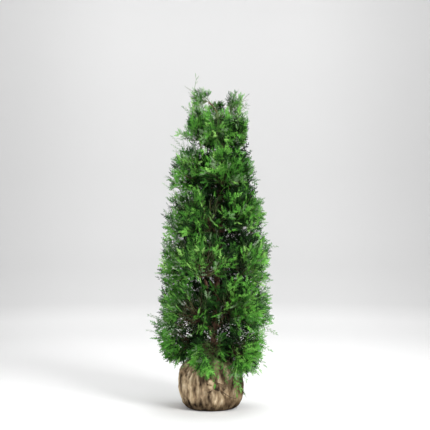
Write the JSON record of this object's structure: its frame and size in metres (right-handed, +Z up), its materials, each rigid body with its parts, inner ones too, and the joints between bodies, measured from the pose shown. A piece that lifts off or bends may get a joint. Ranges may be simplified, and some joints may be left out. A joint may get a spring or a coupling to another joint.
{
  "type": "brabant arborvitae with wrapped root ball",
  "caption": "Upright evergreen hedging conifer, leafy from its two-tipped head to its foot, standing on a root ball that is wrapped in knotted jute cloth.",
  "frame": {"origin": "centre of the flat underside of the wrapped root ball", "axes": "+Z up along the trunk, -Y the front, as the picture shows it, +X the plant's right seen from the front"},
  "size_m": [0.709, 0.61, 1.804],
  "materials": {
    "wrapped_soil": "matte",
    "jute_cloth": "matte",
    "bark": "matte",
    "scale_leaves": "satin"
  },
  "bodies": {
    "root": {"root_ball": "wrapped_soil", "cloth_knot": "jute_cloth", "trunk": "bark", "leader_left": "bark", "leader_right": "bark", "stem_left": "bark", "stem_right": "bark", "shoot_left": "bark", "skirt_bough_1": "bark", "skirt_bough_2": "bark", "skirt_bough_3": "bark", "skirt_bough_4": "bark", "skirt_bough_5": "bark", "lower_bough_1": "bark", "lower_bough_2": "bark", "lower_bough_3": "bark", "lower_bough_4": "bark", "lower_bough_5": "bark", "middle_bough_3": "bark", "middle_bough_4": "bark", "middle_bough_5": "bark", "upper_bough_1": "bark", "upper_bough_2": "bark", "upper_bough_3": "bark", "upper_bough_4": "bark", "shoulder_bough_1": "bark", "shoulder_bough_2": "bark", "shoulder_bough_3": "bark", "shoulder_bough_4": "bark", "skirt_mass_1": "scale_leaves", "skirt_mass_2": "scale_leaves", "skirt_mass_3": "scale_leaves", "skirt_mass_4": "scale_leaves", "skirt_mass_5": "scale_leaves", "lower_mass_1": "scale_leaves", "lower_mass_2": "scale_leaves", "lower_mass_3": "scale_leaves", "lower_mass_4": "scale_leaves", "lower_mass_5": "scale_leaves", "middle_mass_1": "scale_leaves", "middle_mass_2": "scale_leaves", "middle_mass_3": "scale_leaves", "middle_mass_4": "scale_leaves", "middle_mass_5": "scale_leaves", "upper_mass_1": "scale_leaves", "upper_mass_2": "scale_leaves", "upper_mass_3": "scale_leaves", "upper_mass_4": "scale_leaves", "shoulder_mass_1": "scale_leaves", "shoulder_mass_2": "scale_leaves", "shoulder_mass_3": "scale_leaves", "shoulder_mass_4": "scale_leaves", "head_left": "scale_leaves", "head_centre": "scale_leaves", "head_front": "scale_leaves", "head_right": "scale_leaves", "top_left": "scale_leaves", "top_centre": "scale_leaves", "top_right": "scale_leaves"}
  },
  "joints": []
}
